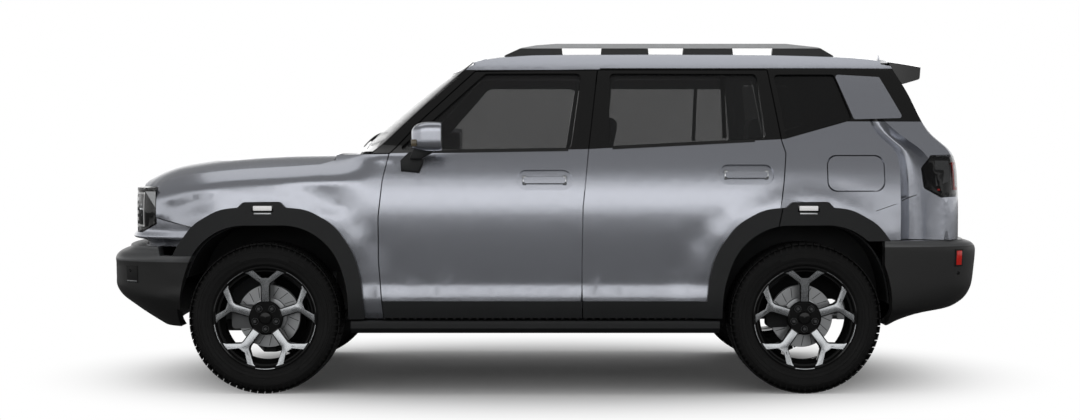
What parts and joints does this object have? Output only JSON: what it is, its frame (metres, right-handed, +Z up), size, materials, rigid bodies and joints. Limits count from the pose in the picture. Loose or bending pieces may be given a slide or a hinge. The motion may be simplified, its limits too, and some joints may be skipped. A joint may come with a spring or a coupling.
{
  "type": "off-road passenger car",
  "caption": "Boxy four-wheel-drive family car with opening doors, bonnet, tailgate and fuel flap, steered front wheels and wheels that roll.",
  "frame": {"origin": "on the ground under the middle of the car", "axes": "+X forward, +Y to the car's left, +Z up"},
  "size_m": [4.7063, 2.356, 1.84],
  "materials": {
    "cast": "cast iron",
    "cladding": "grained charcoal plastic",
    "glass": "dark tinted glass",
    "gloss_black": "gloss black plastic",
    "lamp": "smoked lamp cover",
    "paint": "silver grey metallic paint",
    "rail": "satin silver rail",
    "rim": "machined and gloss black cast rim",
    "seat": "dark seat cover",
    "steel": "dark steel under the body",
    "trim": "black cabin plastic",
    "tyre": "black tyre rubber"
  },
  "bodies": {
    "chassis": {"arch_flares": "cladding", "body_side_left": "paint", "body_side_right": "paint", "bulkhead": "trim", "dashboard": "trim", "engine": "cast", "exhaust": "steel", "floor_pan": "steel", "front_apron": "paint", "front_bumper": "cladding", "front_seats": "seat", "front_suspension": "steel", "front_wings": "paint", "grille": "gloss_black", "headlamps": "lamp", "quarter_glass": "glass", "rear_axle": "steel", "rear_bumper": "cladding", "rear_seat": "seat", "roof_panel": "paint", "roof_rails": "rail", "side_panels": "paint", "side_steps": "cladding", "tail_lamps": "lamp", "wheel_liners": "cladding", "windscreen": "glass"},
    "door_front_left": {"door_front_panel_left": "paint", "door_front_glass_left": "glass", "door_front_cladding_left": "cladding", "door_mirror_left": "paint"},
    "door_front_right": {"door_front_panel_right": "paint", "door_front_glass_right": "glass", "door_front_cladding_right": "cladding", "door_mirror_right": "paint"},
    "door_rear_left": {"door_rear_panel_left": "paint", "door_rear_glass_left": "glass", "door_rear_cladding_left": "cladding"},
    "door_rear_right": {"door_rear_panel_right": "paint", "door_rear_glass_right": "glass", "door_rear_cladding_right": "cladding"},
    "hood": {"hood_panel": "paint"},
    "tailgate": {"tailgate_panel": "paint", "tailgate_glass": "glass", "spoiler": "paint"},
    "flap": {"fuel_flap": "paint"},
    "knuckle_left": {"knuckle_left": "cast"},
    "knuckle_right": {"knuckle_right": "cast"},
    "steering": {"steering_wheel": "trim"},
    "wheel_front_left": {"rim_front_left": "rim", "tyre_front_left": "tyre"},
    "wheel_front_right": {"rim_front_right": "rim", "tyre_front_right": "tyre"},
    "wheel_rear_left": {"rim_rear_left": "rim", "tyre_rear_left": "tyre"},
    "wheel_rear_right": {"rim_rear_right": "rim", "tyre_rear_right": "tyre"}
  },
  "joints": [
    {"name": "steer_left", "type": "hinge", "parent": "chassis", "child": "knuckle_left", "pos_m": [1.4475, 0.715, 0.394], "axis": [0, 0, 1], "range_deg": [-33, 33]},
    {"name": "steer_right", "type": "hinge", "parent": "chassis", "child": "knuckle_right", "pos_m": [1.4475, -0.715, 0.394], "axis": [0, 0, 1], "range_deg": [-33, 33]},
    {"name": "steering_wheel_turn", "type": "hinge", "parent": "chassis", "child": "steering", "pos_m": [0.6075, 0.375, 1.035], "axis": [-0.9063, 0, 0.4226], "range_deg": [-462, 462]},
    {"name": "roll_front_left", "type": "hinge", "parent": "knuckle_left", "child": "wheel_front_left", "pos_m": [1.4475, 0.797, 0.394], "axis": [0, 1, 0], "continuous": true},
    {"name": "roll_front_right", "type": "hinge", "parent": "knuckle_right", "child": "wheel_front_right", "pos_m": [1.4475, -0.797, 0.394], "axis": [0, 1, 0], "continuous": true},
    {"name": "roll_rear_left", "type": "hinge", "parent": "chassis", "child": "wheel_rear_left", "pos_m": [-1.3625, 0.797, 0.394], "axis": [0, 1, 0], "continuous": true},
    {"name": "roll_rear_right", "type": "hinge", "parent": "chassis", "child": "wheel_rear_right", "pos_m": [-1.3625, -0.797, 0.394], "axis": [0, 1, 0], "continuous": true},
    {"name": "door_front_left_swing", "type": "hinge", "parent": "chassis", "child": "door_front_left", "pos_m": [0.8375, 0.953, 0.8], "axis": [0, 0, -1], "range_deg": [0, 68]},
    {"name": "door_front_right_swing", "type": "hinge", "parent": "chassis", "child": "door_front_right", "pos_m": [0.8375, -0.953, 0.8], "axis": [0, 0, 1], "range_deg": [0, 68]},
    {"name": "door_rear_left_swing", "type": "hinge", "parent": "chassis", "child": "door_rear_left", "pos_m": [-0.2155, 0.953, 0.8], "axis": [0, 0, -1], "range_deg": [0, 72]},
    {"name": "door_rear_right_swing", "type": "hinge", "parent": "chassis", "child": "door_rear_right", "pos_m": [-0.2155, -0.953, 0.8], "axis": [0, 0, 1], "range_deg": [0, 72]},
    {"name": "hood_lift", "type": "hinge", "parent": "chassis", "child": "hood", "pos_m": [1.1035, 0, 1.248], "axis": [0, -1, 0], "range_deg": [0, 52]},
    {"name": "tailgate_lift", "type": "hinge", "parent": "chassis", "child": "tailgate", "pos_m": [-1.8055, 0, 1.772], "axis": [0, 1, 0], "range_deg": [0, 78]},
    {"name": "fuel_flap_swing", "type": "hinge", "parent": "chassis", "child": "flap", "pos_m": [-1.4795, 0.943, 1.15], "axis": [0, 0, -1], "range_deg": [0, 90]}
  ],
  "couplings": [
    {"joint": "steer_right", "follows": "steer_left", "ratio": 1},
    {"joint": "steering_wheel_turn", "follows": "steer_left", "ratio": 14}
  ]
}
